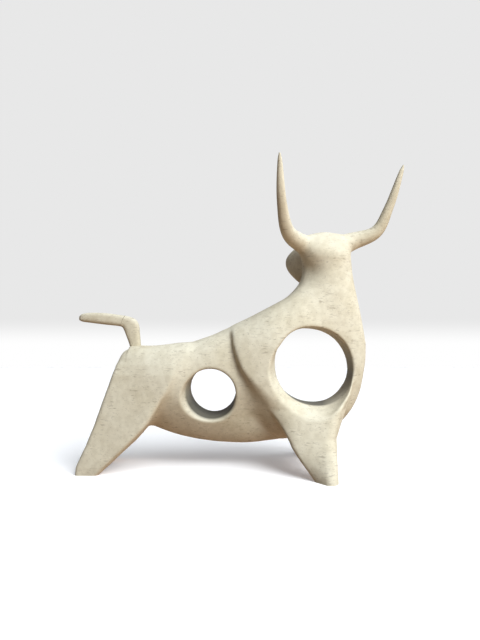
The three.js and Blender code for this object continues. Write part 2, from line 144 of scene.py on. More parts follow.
# Legs, as four corners at several heights: rear outer, front outer, front inner, rear inner
FORELEG = [
    (-3, ((50.3, 38), (59.1, 52.4), (66.9, 43.8), (59, 29.5))),
    (0, ((48.2, 37.2), (59.5, 50.8), (67, 42.3), (57.5, 27.5))),
    (12, ((38.9, 34.2), (61, 44.8), (67.4, 36.5), (52, 19.5))),
    (27, ((29.5, 30.6), (62.6, 37), (68.5, 26.2), (41, 9))),
    (46, ((17, 24.5), (68.4, 30.5), (77.8, 14.2), (22, -1))),
    (55, ((12, 24.8), (75.8, 23.5), (82, 10.3), (18, -1))),
    (64, ((7, 24.5), (81.4, 15.4), (83.6, 6), (14, -1))),
    (78, ((3, 19), (83, 8), (84, 3), (12, -1))),
    (90, ((0, 14), (70, 5), (72, 0), (10, -1))),
]
HINDLEG = [
    (-3, ((-116.4, 25), (-102, 25), (-102.4, 13.6), (-115, 13.3))),
    (0, ((-116.6, 24.8), (-99.4, 24.8), (-99.8, 12.5), (-115, 12.5))),
    (5.6, ((-116.2, 24.2), (-94.2, 25.4), (-93, 10.5), (-114, 11))),
    (20, ((-109.4, 22.8), (-79, 25.4), (-77.4, 5), (-107.6, 6))),
    (36, ((-103.4, 21.4), (-62.6, 25.2), (-61.4, -1), (-102, -1))),
    (60, ((-95.2, 19.4), (-49.4, 23.4), (-49.4, -1), (-94, -1))),
    (70, ((-92, 18), (-46, 22), (-46, -1), (-91, -1))),
    (77, ((-89.8, 15.2), (-46, 19.4), (-46, -1), (-89, -1))),
    (83, ((-86.4, 10.4), (-46, 14.8), (-46, -1), (-86, -1))),
    (88, ((-82, 5), (-46, 8), (-46, -1), (-82, -1))),
]
FORELEG_CORNER, HINDLEG_CORNER, LEG_TOP = 5.0, 3.2, 5  # rounding of the corners and of the top
# The legs' joints: a leg is what lies below a height, and a foreleg also outside a half width
FORELEG_TOP, FORELEG_INNER = 33.0, 9.0
HINDLEG_TOP = 37.0

# Head: the place that it turns about, how far, and the muzzle as along, chin, brow, half
HEAD = {"x": 64.3, "y": 1.8, "turn": math.radians(38)}
MUZZLE = [
    (-9, 4, 23, 8), (6, -9, 24.5, 10.8), (20, -9.6, 24, 11.2), (31, -2.4, 19.4, 9.4),
    (39, 6, 14.5, 5.6),
]
HEAD_SQUARENESS = 2.3
HEAD_END = 5  # rounding at its two ends

# Horns: the axis as x, y, rise, and the radius at shares of its length
HORNS = {
    "left": [
        (55, -0.5, 16.2), (44.2, -6.9, 19.5), (33.4, -23, 24.6), (28.4, -34.5, 41),
        (25.9, -45.9, 70.75),
    ],
    "right": [
        (72, -1, 17.2), (84.8, 3, 22.2), (102.6, 1.4, 29.4), (110.6, -3.4, 46.2),
        (118.88, -11, 74.98),
    ],
}
HORN_RADII = [
    (0, 8), (0.14, 6.9), (0.3, 5.5), (0.45, 4.4), (0.6, 3.5), (0.8, 2.6), (0.95, 1.5), (1, 0.5),
]
HORN_JOINT, BOSS_OVERLAP = 0.24, 0.08  # shares of the length: the joint, and the root's reach past it
BOSS_REACH = 14  # how far round the joint the head is cut off
HORN_POINTS, HORN_RINGS, HORN_SIDES, HORN_SQUARENESS = 101, 64, 28, 2.2
CURVE_STEPS = 200  # points between two rows of an axis, before they are spaced evenly

# Tail, from its foot: front then top edge, rear then underside edge, half thickness
TAIL = [
    ((-74.2, 84.5), (-81.6, 84.5), 3.6), ((-74.4, 91), (-82.6, 91), 3.6),
    ((-75.2, 100), (-85.6, 99.4), 3.8), ((-75.8, 105.8), (-86.8, 102.4), 3.9),
    ((-78, 109.8), (-87.6, 103.8), 3.9), ((-82.6, 112.2), (-88.4, 104.6), 3.9),
    ((-91, 113.7), (-91.4, 105.3), 4), ((-101.7, 115), (-101.7, 106.4), 4),
    ((-112, 115.2), (-112, 107.7), 3.6), ((-117.8, 114.4), (-117.8, 108.5), 2.8),
    ((TAIL_END, 112.6), (TAIL_END, 109.6), 1.4),
]
TAIL_SEAM, TAIL_GAP = -88.0, 0.02  # the seam's place, and half its gap as a share of a station
TAIL_RINGS, TAIL_SIDES, TAIL_SQUARENESS = 40, 32, 3.0

# Boxes that the forms are drawn in
BODY_BOX = (-119.6, -53.6, -3.2), (96.0, 53.6, 181.0)
HIND_BOX = (-119, -52, -3.2), (-28, 52, 93)
BARREL_BOX = (-82, -34, 12), (46, 34, 136)
FORE_BOX = (-20, -52, -3.2), (95, 52, 180)
HEAD_BOX = (20, -24, 128), (95, 50, 180)

# Waviness of the hand-finished surface: length, number and height of the waves
WAVES = ((30.0, 5, 0.05), (12.0, 6, 0.012), (3.6, 7, 0.008))
WAVE_SPREAD = 0.8, 1.25  # their lengths vary by these factors
WAVE_SEED = 11


def smooth(table, column, place):
    """A column of a table at any place, on the smooth curve through its rows."""
    xs = np.array([row[0] for row in table], float)
    ys = np.array([row[column] for row in table], float)
    slopes = np.empty_like(ys)
    slopes[0] = (ys[1] - ys[0]) / (xs[1] - xs[0])
    slopes[-1] = (ys[-1] - ys[-2]) / (xs[-1] - xs[-2])
    slopes[1:-1] = (ys[2:] - ys[:-2]) / (xs[2:] - xs[:-2])
    place = np.clip(place, xs[0], xs[-1])
    i = np.clip(np.searchsorted(xs, place) - 1, 0, len(xs) - 2)
    span = xs[i + 1] - xs[i]
    t = (place - xs[i]) / span
    rise = ys[i + 1] - ys[i]
    lead = span * slopes[i] - rise
    lag = rise - span * slopes[i + 1]
    return ys[i] + t * rise + t * (1 - t) * ((1 - t) * lead + t * lag)


def share(value, *ways):
    """How far a value is from none to full, from 0 to 1, for one pair or several multiplied."""
    total = 1
    for none, full in ways:
        total = total * np.clip((value - none) / (full - none), 0, 1)
    return total


def widened(z, least, more, *heights):
    """A fillet that is wider at some heights."""
    return least + more * share(z, *heights)


def join(a, b, blend):
    """The union of two fields, with a fillet of about the blend's size."""
    h = np.clip(0.5 + 0.5 * (b - a) / blend, 0, 1)
    return b + (a - b) * h - blend * h * (1 - h)


def meet(a, b, blend):
    """The common part of two fields, with its new edge rounded."""
    return -join(-a, -b, blend)


def ball(centre, radius, x, y, z):
    """The distance to a ball."""
    return np.sqrt((x - centre[0]) ** 2 + (y - centre[1]) ** 2 + (z - centre[2]) ** 2) - radius


def oval(u, v, wide, high, squareness):
    """The distance to a squarish oval, from places in shares of its half sizes."""
    power = squareness - 1
    off_centre = 1e-4
    au, av = np.abs(u) + off_centre, np.abs(v) + off_centre
    pu, pv = au**power, av**power
    gauge = (pu * au + pv * av) ** (1 / squareness)
    steep = np.sqrt((pu / wide) ** 2 + (pv / high) ** 2) / gauge**power
    return (gauge - 1) / steep


def block(shape, x, y, z):
    """One block of the body, between the outline's belly and back."""
    belly, back = smooth(OUTLINE, 1, x), smooth(OUTLINE, 2, x)
    half = smooth(shape["halves"], 1, x)
    middle, up = (belly + back) / 2, (back - belly) / 2
    v = (z - middle) / up
    wide = half * (1 - shape["keel"] * np.clip(-v, 0, 1) ** KEEL_POWER)
    field = oval(y / wide, v, wide, up, shape["squareness"])
    first, last = shape["halves"][0][0], shape["halves"][-1][0]
    return meet(meet(field, first - x, BLOCK_END), x - last, BLOCK_END)


def neck(x, y, z):
    """The neck with the crown on top and the hollow of the nape."""
    rise = z - NECK_HEIGHT
    rear, front, half = (smooth(NECK, c, rise) for c in (1, 2, 3))
    long = (front - rear) / 2
    field = oval((x - (rear + front) / 2) / long, y / half, long, half, NECK_SQUARENESS)
    top = (
        CROWN["top"]
        - CROWN["fall"] * ((x - CROWN["x"]) / CROWN["long"]) ** 2
        - CROWN["drop"] * (y / CROWN["wide"]) ** 2
    )
    nape = ((x - NAPE["x"]) / NAPE["wide"]) ** 2 + ((z - NAPE["z"]) / NAPE["high"]) ** 2
    hollow = NAPE["deep"] * np.exp(-nape) * np.clip(-y / NAPE["fade"], 0, 1)
    return meet(meet(field + hollow, z - top, NECK_TOP), NECK_HEIGHT + NECK[0][0] - z, NECK_FOOT)


def leg(sections, side, x, y, z, rounding):
    """A leg between stacked four-cornered sections, with rounded corners."""
    heights = [s[0] for s in sections]
    corners = [
        [np.interp(z, heights, [s[1][c][axis] for s in sections]) for axis in (0, 1)]
        for c in range(4)
    ]
    out = side * y
    middle = [sum(c[axis] for c in corners) / 4 for axis in (0, 1)]
    total = 0
    inner = None
    for c in range(4):
        (ax, ay), (bx, by) = corners[c], corners[(c + 1) % 4]
        nx, ny = by - ay, ax - bx
        size = np.hypot(nx, ny)
        way = np.sign(nx * (ax - middle[0]) + ny * (ay - middle[1]))
        edge = ((x - ax) * nx + (out - ay) * ny) * way / size
        total = total + np.clip(edge + rounding, 0, None) ** 2
        inner = edge if inner is None else np.maximum(inner, edge)
    field = np.sqrt(total) - rounding + np.minimum(inner + rounding, 0)
    return meet(field, z - heights[-1], LEG_TOP)


def way_through(shape, x, y, z):
    """The straight throat of an opening with its bowl towards each flank."""
    t = (np.abs(y) - shape["throat"]) / (shape["flank"] - shape["throat"])
    t = np.clip(t, 0, BOWL_LIMIT)
    out = t * t / (t + BOWL_START)
    dx, dz, skew = x - shape["x"], z - shape["z"], shape["skew"]
    power = shape["power"]
    gauge = np.abs(dx + skew * dz) ** power + np.abs(dz + skew * dx) ** power
    straight = gauge ** (1 / power) - shape["radius"]
    back, drop, flare = (out * (1 + (far - 1) * (y > 0)) for far in shape["far"])
    dx, dz = dx + shape["back"] * back, dz + shape["drop"] * drop
    bowl = np.hypot(dx + skew * dz, dz + skew * dx)
    return join(straight, bowl - shape["radius"] - shape["flare"] * flare, BOWL_EDGE)


def skull(x, y, z):
    """The head with its muzzle, turned to the far side."""
    sine, cosine = math.sin(HEAD["turn"]), math.cos(HEAD["turn"])
    dx, dy = x - HEAD["x"], y - HEAD["y"]
    along, across = dy * cosine - dx * sine, dx * cosine + dy * sine
    chin, brow, half = (smooth(MUZZLE, c, along) for c in (1, 2, 3))
    up = (brow - chin) / 2
    middle = NECK_HEIGHT + (chin + brow) / 2
    field = oval(across / half, (z - middle) / up, half, up, HEAD_SQUARENESS)
    return meet(meet(field, MUZZLE[0][0] - along, HEAD_END), along - MUZZLE[-1][0], HEAD_END)


def unit(vectors):
    """The vectors at length 1, or left at nothing."""
    return vectors / np.maximum(np.linalg.norm(vectors, axis=1), 1e-12)[:, None]


def catmull(points, count):
    """Evenly spaced points on the centripetal curve through the given ones, with its tangents."""
    p = np.array(points, float)
    p = np.vstack([2 * p[0] - p[1], p, 2 * p[-1] - p[-2]])
    made = []
    for i in range(1, len(p) - 2):
        p0, p1, p2, p3 = p[i - 1:i + 3]
        knots = [0.0]
        for a, b in ((p0, p1), (p1, p2), (p2, p3)):
            knots.append(knots[-1] + np.linalg.norm(b - a) ** 0.5)
        k0, k1, k2, k3 = knots
        t = np.linspace(k1, k2, CURVE_STEPS, endpoint=i == len(p) - 3)[:, None]

        def between(a, b, start, end):
            return (end - t) / (end - start) * a + (t - start) / (end - start) * b

        a1, a2, a3 = between(p0, p1, k0, k1), between(p1, p2, k1, k2), between(p2, p3, k2, k3)
        b1, b2 = between(a1, a2, k0, k2), between(a2, a3, k1, k3)
        made.append(between(b1, b2, k1, k2))
    dense = np.vstack(made)
    length = np.concatenate([[0], np.cumsum(np.linalg.norm(np.diff(dense, axis=0), axis=1))])
    even = np.linspace(0, length[-1], count)
    at = np.stack([np.interp(even, length, dense[:, c]) for c in range(3)], 1)
    return at, unit(np.gradient(at, axis=0))


HORN_AXES = {
    side: catmull([(a, b, NECK_HEIGHT + c) for a, b, c in axis], HORN_POINTS)
    for side, axis in HORNS.items()
}


def boss(side, x, y, z):
    """The root of a horn, a little past its joint, as balls along its axis."""
    at, _ = HORN_AXES[side]
    last = int((HORN_JOINT + BOSS_OVERLAP) * (HORN_POINTS - 1))
    field = None
    for i in range(0, last, 2):
        radius = float(smooth(HORN_RADII, 1, i / (HORN_POINTS - 1)))
        near = ball(at[i], radius, x, y, z)
        field = near if field is None else np.minimum(field, near)
    return field


def relief(x, y, z):
    """The slight waviness of a hand-finished surface."""
    rng = np.random.default_rng(WAVE_SEED)
    total = 0
    for size, count, height in WAVES:
        for _ in range(count):
            way = rng.normal(size=3)
            way /= np.linalg.norm(way)
            phase = rng.uniform(0, 2 * math.pi)
            turn = 2 * math.pi / (size * rng.uniform(*WAVE_SPREAD))
            total = total + height * np.sin((x * way[0] + y * way[1] + z * way[2]) * turn + phase)
    return total


class Grid:
    """A field sampled on a regular grid."""

    outside = 30  # where nothing is drawn
    reach = 0.75  # of a step, to either side of a point, for its slope
    rounds, limit, flattest = 2, 0.4, 0.2  # drawing points on: how often, how many steps, least slope

    def __init__(self, low, high, step):
        self.low = np.array(low, float)
        self.step = step
        counts = [int(math.ceil((h - l) / step)) + 1 for l, h in zip(low, high)]
        self.axes = [(l + step * np.arange(n)).astype(np.float32) for l, n in zip(low, counts)]
        self.field = np.full(counts, self.outside, np.float32)

    def part(self, low, high):
        """The slices and the open coordinate arrays of a box inside the grid."""
        spans = [
            slice(int(np.searchsorted(a, l)), int(np.searchsorted(a, h, side="right")))
            for a, l, h in zip(self.axes, low, high)
        ]
        x, y, z = (a[s] for a, s in zip(self.axes, spans))
        return tuple(spans), x[:, None, None], y[None, :, None], z[None, None, :]

    def sample(self, points):
        """The field between the grid's samples."""
        p = (points - self.low) / self.step
        i = np.clip(np.floor(p).astype(int), 0, np.array(self.field.shape) - 2)
        t = p - i
        total = 0
        for dx in (0, 1):
            for dy in (0, 1):
                for dz in (0, 1):
                    weight = (
                        (t[:, 0] if dx else 1 - t[:, 0])
                        * (t[:, 1] if dy else 1 - t[:, 1])
                        * (t[:, 2] if dz else 1 - t[:, 2])
                    )
                    total = total + weight * self.field[i[:, 0] + dx, i[:, 1] + dy, i[:, 2] + dz]
        return total

    def slope(self, points):
        """The field's gradient at points."""
        reach = self.reach * self.step
        parts = []
        for axis in range(3):
            move = np.zeros(3)
            move[axis] = reach
            parts.append((self.sample(points + move) - self.sample(points - move)) / (2 * reach))
        return np.stack(parts, 1)

    def surface(self):
        """The zero surface as points and triangles, by surface nets, with its points drawn onto it."""
        field = self.field
        inside = field < 0
        cells = np.array(field.shape) - 1
        count = int(np.prod(cells))
        sums = np.zeros((3, count))
        hits = np.zeros(count)
        quads = []
        for axis in range(3):
            near = [slice(None)] * 3
            far = [slice(None)] * 3
            near[axis], far[axis] = slice(0, -1), slice(1, None)
            near, far = tuple(near), tuple(far)
            at = np.argwhere(inside[near] != inside[far])
            a, b = field[near][tuple(at.T)], field[far][tuple(at.T)]
            place = at.astype(float)
            place[:, axis] += a / (a - b)
            others = [k for k in range(3) if k != axis]
            ids = []
            # Each edge that crosses the surface joins the four cells round it in one quad
            for du, dv in ((-1, -1), (0, -1), (0, 0), (-1, 0)):
                cell = at.copy()
                cell[:, others[0]] += du
                cell[:, others[1]] += dv
                ids.append((cell[:, 0] * cells[1] + cell[:, 1]) * cells[2] + cell[:, 2])
            for cell in ids:
                hits += np.bincount(cell, minlength=count)
                for k in range(3):
                    sums[k] += np.bincount(cell, weights=place[:, k], minlength=count)
            quad = np.stack(ids, 1)
            flip = (a > 0) ^ (axis == 1)
            quad[flip] = quad[flip][:, ::-1]
            quads.append(quad)
        used = np.flatnonzero(hits)
        points = (sums[:, used] / hits[used]).T * self.step + self.low
        renumber = np.zeros(count, int)
        renumber[used] = np.arange(len(used))
        quads = renumber[np.vstack(quads)]
        for _ in range(self.rounds):
            slope = self.slope(points)
            steep = np.maximum((slope**2).sum(1), self.flattest)
            move = -self.sample(points)[:, None] * slope / steep[:, None]
            length = np.linalg.norm(move, axis=1)
            held = np.minimum(1, self.limit * self.step / np.maximum(length, 1e-9))
            points = points + move * held[:, None]
        return points, np.vstack([quads[:, [0, 1, 2]], quads[:, [0, 2, 3]]])


def carve():
    """The whole stone body with neck, head and legs as one field."""
    grid = Grid(*BODY_BOX, VOXEL)

    spans, x, y, z = grid.part(*HIND_BOX)
    hind = block(HINDQUARTER, x, y, z)
    for side in (-1, 1):
        hind = join(hind, leg(HINDLEG, side, x, y, z, HINDLEG_CORNER), FILLETS["hindleg"])
    ahead = CREASE_SLOPE * (x - smooth(HAUNCH_CREASE, 1, z))
    grid.field[spans] = meet(hind, ahead, FILLETS["haunch"])

    spans, x, y, z = grid.part(*BARREL_BOX)
    barrel = block(BARREL, x, y, z)
    gap = CREASE_SLOPE * (x - smooth(SHOULDER_CREASE, 1, z))
    grooves = sum(deep * np.exp(-((gap / wide) ** 2)) for deep, wide in GROOVES)
    barrel = barrel + share(z, *GROOVE_HEIGHTS) * grooves
    hollow = HOLLOW["deep"] * np.exp(-(((gap + HOLLOW["behind"]) / HOLLOW["wide"]) ** 2))
    barrel = barrel + hollow * share(z, *HOLLOW["heights"])
    grid.field[spans] = join(grid.field[spans], barrel, widened(z, *BARREL_FILLET))

    spans, x, y, z = grid.part(*FORE_BOX)
    fore = block(FOREQUARTER, x, y, z)
    fore = join(fore, neck(x, y, z), FILLETS["neck"])
    for side in (-1, 1):
        fore = join(fore, leg(FORELEG, side, x, y, z, FORELEG_CORNER), FILLETS["foreleg"])
    slant = SLANT["steep"] * share(z, *SLANT["heights"])
    cut = smooth(SHOULDER_CREASE, 1, z) - x + slant * (np.abs(y) - SLANT["flank"])
    fore = meet(fore, CREASE_SLOPE * (cut / np.sqrt(1 + slant**2)), widened(z, *FORE_EDGE))
    grid.field[spans] = join(grid.field[spans], fore, widened(z, *CREASE_FILLET))

    spans, x, y, z = grid.part(*HEAD_BOX)
    head = join(skull(x, y, z), neck(x, y, z), FILLETS["skull"])
    head = join(head, ball(BROW_CENTRE, BROW_RADIUS, x, y, z), FILLETS["brow"])
    for side in HORN_AXES:
        head = join(head, boss(side, x, y, z), FILLETS["boss"])
    grid.field[spans] = np.minimum(grid.field[spans], head)

    for shape in OPENINGS:
        reach = shape["radius"] + OPENING_ROOM
        low = (shape["x"] - reach, -OPENING_DEEP, shape["z"] - reach)
        high = (shape["x"] + reach, OPENING_DEEP, shape["z"] + reach)
        spans, x, y, z = grid.part(low, high)
        grid.field[spans] = meet(grid.field[spans], -way_through(shape, x, y, z), FILLETS["rim"])

    spans, x, y, z = grid.part([-math.inf] * 3, [math.inf] * 3)
    grid.field[spans] += relief(x, y, z)
    return grid


def clip(points, triangles, values, flat):
    """Cuts a closed mesh where the values are zero, and closes both parts with caps.

    The mesh and its parts are triangles with a mark on those that are caps. Gives the points, with new
    ones at the end, the part where the values are negative and the other one. flat gives each point's
    place on the cut as two coordinates.
    """
    least = 1e-7
    values = np.where(np.abs(values) < least, least, values)
    tri, capped = triangles
    below = values < 0
    sides = [[], []]
    cut_edges = {}
    new_points = []
    loops = [[], []]

    def crossing(a, b):
        key = (a, b) if a < b else (b, a)
        if key not in cut_edges:
            i, j = key
            t = values[i] / (values[i] - values[j])
            cut_edges[key] = len(points) + len(new_points)
            new_points.append(points[i] + t * (points[j] - points[i]))
        return cut_edges[key]

    count = below[tri].sum(1)
    for k, wanted in ((0, 3), (1, 0)):
        chosen = count == wanted
        sides[k] = [[tri[chosen]], [capped[chosen]]]
    for index in np.flatnonzero((count == 1) | (count == 2)):
        a, b, c = (int(v) for v in tri[index])
        lone = 1 if count[index] == 1 else 0
        while bool(below[a]) != bool(lone):
            a, b, c = b, c, a
        ab, ac = crossing(a, b), crossing(a, c)
        own, other = (0, 1) if lone else (1, 0)
        flag = [capped[index]]
        sides[own][0].append(np.array([[a, ab, ac]]))
        sides[own][1].append(np.array(flag))
        sides[other][0].append(np.array([[b, c, ac], [b, ac, ab]]))
        sides[other][1].append(np.array(flag * 2))
        loops[own].append((ac, ab))
        loops[other].append((ab, ac))
    every = np.vstack([points, np.array(new_points).reshape(-1, 3)])
    places = flat(every)
    result = []
    for k in (0, 1):
        rings = []
        after = dict(loops[k])
        while after:
            start, here = next(iter(after.items()))
            ring = [start]
            del after[start]
            while here != start:
                ring.append(here)
                here = after.pop(here)
            rings.append(ring)
        for ring in rings:
            shape = places[ring]
            after_u, after_v = np.roll(shape[:, 0], -1), np.roll(shape[:, 1], -1)
            area = np.sum(shape[:, 0] * after_v - after_u * shape[:, 1])
            made = []
            for t in tessellate_polygon([[Vector((u, v, 0)) for u, v in shape]]):
                (ax, ay), (bx, by), (cx, cy) = (shape[i] for i in t)
                turn = (bx - ax) * (cy - ay) - (by - ay) * (cx - ax)
                t = t if turn * area > 0 else t[::-1]
                made.append([ring[i] for i in t])
            sides[k][0].append(np.array(made))
            sides[k][1].append(np.ones(len(made), bool))
        result.append((np.vstack(sides[k][0]), np.concatenate(sides[k][1])))
    return every, result[0], result[1]


def compact(points, faces):
    """The points in use, and the faces renumbered to them."""
    used, faces = np.unique(faces, return_inverse=True)
    return points[used], faces.reshape(-1, 3)


def turned_out(points, faces):
    """The faces of a closed mesh, turned outwards."""
    corners = points[faces] - points.mean(0)
    volume = np.einsum("ij,ij->i", corners[:, 0], np.cross(corners[:, 1], corners[:, 2])).sum()
    return faces[:, ::-1] if volume < 0 else faces


def make_piece(node, points, faces, capped, normals=None):
    """A closed stone piece in place of a node's solid, with smooth sides and flat caps."""
    name = "stone_" + node
    mesh = bpy.data.meshes.new(name)
    placed = (points + np.array([SHIFT, 0, 0])) * MM
    mesh.from_pydata(placed.tolist(), [], faces.tolist())
    mesh.validate()
    corners = points[faces]
    face_normals = np.cross(corners[:, 1] - corners[:, 0], corners[:, 2] - corners[:, 0])
    if normals is None:
        normals = np.zeros_like(points)
        for c in range(3):
            np.add.at(normals, faces[~capped, c], face_normals[~capped])
    loops = unit(normals)[faces]
    loops[capped] = unit(face_normals)[capped][:, None, :]
    if len(mesh.polygons) == len(faces):
        mesh.normals_split_custom_set(loops.reshape(-1, 3).tolist())
    piece = bpy.data.objects.new(name, mesh)
    bpy.context.scene.collection.objects.link(piece)
    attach(piece, "root")
    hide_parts(node)
    return piece


def loft(rings):
    """Side triangles through closed rings, then the flat ends as caps."""
    count = len(rings[0])
    points = np.vstack(rings)
    faces = []
    for r in range(len(rings) - 1):
        for i in range(count):
            a, b = r * count + i, r * count + (i + 1) % count
            faces += [(a, b, b + count), (a, b + count, a + count)]
    sides = len(faces)
    hubs = np.array([rings[0].mean(0), rings[-1].mean(0)])
    first, last = len(points), (len(rings) - 1) * count
    points = np.vstack([points, hubs])
    for i in range(count):
        faces.append((first, (i + 1) % count, i))
        faces.append((first + 1, last + i, last + (i + 1) % count))
    faces = np.array(faces)
    capped = np.arange(len(faces)) >= sides
    return points, turned_out(points, faces), capped


def ring_shape(sides, squareness):
    """A squarish round of half size 1."""
    angle = 2 * math.pi * np.arange(sides) / sides
    return tuple(np.sign(v) * np.abs(v) ** (2 / squareness) for v in (np.cos(angle), np.sin(angle)))


def square_to(way):
    """Two directions square to a way and to each other."""
    side = np.cross([0, 1, 0], way)
    side /= np.linalg.norm(side)
    return side, np.cross(way, side)


def horn(side_name):
    """A horn from its joint to its rounded tip."""
    at, ways = HORN_AXES[side_name]
    steps = np.arange(HORN_POINTS) / (HORN_POINTS - 1)
    a, b = ring_shape(HORN_SIDES, HORN_SQUARENESS)
    rings = []
    for place in np.linspace(HORN_JOINT, 1, HORN_RINGS):
        centre = np.array([np.interp(place, steps, at[:, c]) for c in range(3)])
        side, up = square_to(np.array([np.interp(place, steps, ways[:, c]) for c in range(3)]))
        radius = float(smooth(HORN_RADII, 1, place))
        rings.append(centre + radius * (a[:, None] * side + b[:, None] * up))
    return loft(rings)


def tail_part(first, last):
    """The tail between two places along its stations, counted from its foot."""
    rows = [[(i, s[edge][axis]) for i, s in enumerate(TAIL)] for edge in (0, 1) for axis in (0, 1)]
    halves = [(i, s[2]) for i, s in enumerate(TAIL)]
    a, b = ring_shape(TAIL_SIDES, TAIL_SQUARENESS)
    rings = []
    for place in np.linspace(first, last, TAIL_RINGS):
        ox, oz, ix, iz = (float(smooth(row, 1, place)) for row in rows)
        half = float(smooth(halves, 1, place))
        middle = np.array([(ox + ix) / 2, 0, (oz + iz) / 2])
        across = np.array([ox, 0, oz]) - middle
        rings.append(middle + a[:, None] * across + b[:, None] * np.array([0, half, 0]))
    return loft(rings)


def columns(*kept):
    """Two of a point's coordinates, as its place on a cut."""
    return lambda points: points[:, list(kept)]


def build():
    """All the stone pieces: the carved body parted into its blocks, the horns and the tail."""
    grid = carve()
    points, faces = grid.surface()
    whole = (turned_out(points, faces), np.zeros(len(faces), bool))
    across, along, level = columns(1, 2), columns(0, 2), columns(0, 1)

    def past(crease):
        return points[:, 0] - smooth(crease, 1, points[:, 2])

    points, hind, rest = clip(points, whole, past(HAUNCH_CREASE), across)
    points, barrel, fore = clip(points, rest, past(SHOULDER_CREASE), across)
    # The legs are drawn a little past the floor, and cut off at it
    points, hindlegs, hindquarter = clip(points, hind, points[:, 2] - HINDLEG_TOP, level)
    points, hindlegs, _ = clip(points, hindlegs, -points[:, 2], level)
    points, hindleg_right, hindleg_left = clip(points, hindlegs, points[:, 1], along)
    forelegs = {}
    for node, side in (("foreleg_right", -1), ("foreleg_left", 1)):
        beyond = np.maximum(points[:, 2] - FORELEG_TOP, FORELEG_INNER - side * points[:, 1])
        bent = lambda p: np.stack([p[:, 0], side * p[:, 1] + p[:, 2]], 1)
        points, foreleg, fore = clip(points, fore, beyond, bent)
        points, forelegs[node], _ = clip(points, foreleg, -points[:, 2], level)
    tilt = -math.sin(NECK_TILT) * points[:, 1] + math.cos(NECK_TILT) * (points[:, 2] - NECK_HEIGHT)
    points, forequarter, head = clip(points, fore, tilt, level)
    for at, ways in HORN_AXES.values():
        i = round(HORN_JOINT * (HORN_POINTS - 1))
        centre, (side, up) = at[i], square_to(ways[i])
        reach = np.linalg.norm(points - centre, axis=1) - BOSS_REACH
        beyond = np.maximum(-(points - centre) @ ways[i], reach)
        own = lambda p: np.stack([(p - centre) @ side, (p - centre) @ up], 1)
        points, _, head = clip(points, head, beyond, own)

    carved = {
        "barrel": barrel, "forequarter": forequarter, "hindquarter": hindquarter, "head": head,
        "hindleg_right": hindleg_right, "hindleg_left": hindleg_left, **forelegs,
    }
    made = []
    for node, (faces, capped) in carved.items():
        own_points, own_faces = compact(points, faces)
        made.append(make_piece(node, own_points, own_faces, capped, grid.slope(own_points)))
    seam = np.interp(-TAIL_SEAM, [-(s[0][0] + s[1][0]) / 2 for s in TAIL], range(len(TAIL)))
    lofted = {"horn_" + side: horn(side) for side in HORN_AXES}
    lofted["tail_stem"] = tail_part(0, seam - TAIL_GAP)
    lofted["tail_tip"] = tail_part(seam + TAIL_GAP, len(TAIL) - 1)
    for node, piece in lofted.items():
        made.append(make_piece(node, *piece))
    return made


class Nodes:
    """Short ways to build a node tree."""

    def __init__(self, tree):
        self.tree = tree

    def put(self, socket, value):
        """Links another node's socket to an input, or sets its value."""
        if isinstance(value, bpy.types.NodeSocket):
            self.tree.links.new(value, socket)
        else:
            socket.default_value = value

    def add(self, kind, inputs=None, **settings):
        node = self.tree.nodes.new(kind)
        for key, value in settings.items():
            setattr(node, key, value)
        for key, value in (inputs or {}).items():
            self.put(node.inputs[key], value)
        return node

    def place(self, kind="Object"):
        """A point's place on the object, or in the world its direction."""
        return self.add("ShaderNodeTexCoord").outputs[kind]

    def ramp(self, factor, stops):
        node = self.add("ShaderNodeValToRGB", {"Fac": factor})
        elements = node.color_ramp.elements
        while len(elements) < len(stops):
            elements.new(0.5)
        for element, (place, colour) in zip(elements, stops):
            element.position = place
            element.color = (*colour, 1)
        return node.outputs["Color"]

    def mix(self, factor, a, b, mode="MIX"):
        """Two colours mixed or multiplied."""
        node = self.add("ShaderNodeMix", data_type="RGBA", blend_type=mode)
        for key, kind, value in (("Factor", "VALUE", factor), ("A", "RGBA", a), ("B", "RGBA", b)):
            socket = next(s for s in node.inputs if s.name == key and s.type == kind)
            self.put(socket, (*value, 1) if isinstance(value, tuple) else value)
        return next(s for s in node.outputs if s.type == "RGBA")

    def noise(self, vector, scale=1, detail=2, rough=0.5):
        inputs = {"Vector": vector, "Scale": scale, "Detail": detail, "Roughness": rough}
        return self.add("ShaderNodeTexNoise", inputs).outputs["Fac"]

    def maths(self, operation, a, b=0.0):
        return self.add("ShaderNodeMath", {0: a, 1: b}, operation=operation).outputs[0]

    def vector(self, operation, a, b, output=0):
        return self.add("ShaderNodeVectorMath", {0: a, 1: b}, operation=operation).outputs[output]

    def axis(self, vector, name):
        return self.add("ShaderNodeSeparateXYZ", {"Vector": vector}).outputs[name]

    def between(self, value, low, high, first=0.0, last=1.0, **settings):
        """A value's place from low to high, as a number from first to last."""
        inputs = {"Value": value, "From Min": low, "From Max": high, "To Min": first, "To Max": last}
        return self.add("ShaderNodeMapRange", inputs, **settings).outputs[0]

    def scaled(self, vector, scale, offset=(0, 0, 0)):
        inputs = {"Vector": vector, "Scale": scale, "Location": offset}
        return self.add("ShaderNodeMapping", inputs).outputs[0]

    def surface(self, kind, inputs):
        """A shader of a kind as the material's surface."""
        shader = self.add(kind, inputs)
        self.add("ShaderNodeOutputMaterial", {"Surface": shader.outputs[0]})


def new_material(name):
    """An empty node material, and the ways to build it."""
    material = bpy.data.materials.new(name)
    material.use_nodes = True
    material.node_tree.nodes.clear()
    return material, Nodes(material.node_tree)


def srgb(code):
    """A linear colour from its sRGB code."""
    values = [int(code[i:i + 2], 16) / 255 for i in (0, 2, 4)]
    return tuple(v / 12.92 if v <= 0.04045 else ((v + 0.055) / 1.055) ** 2.4 for v in values)


def grey(value):
    """A linear colour without a tint."""
    return (value, value, value)


BLACK, WHITE = grey(0), grey(1)
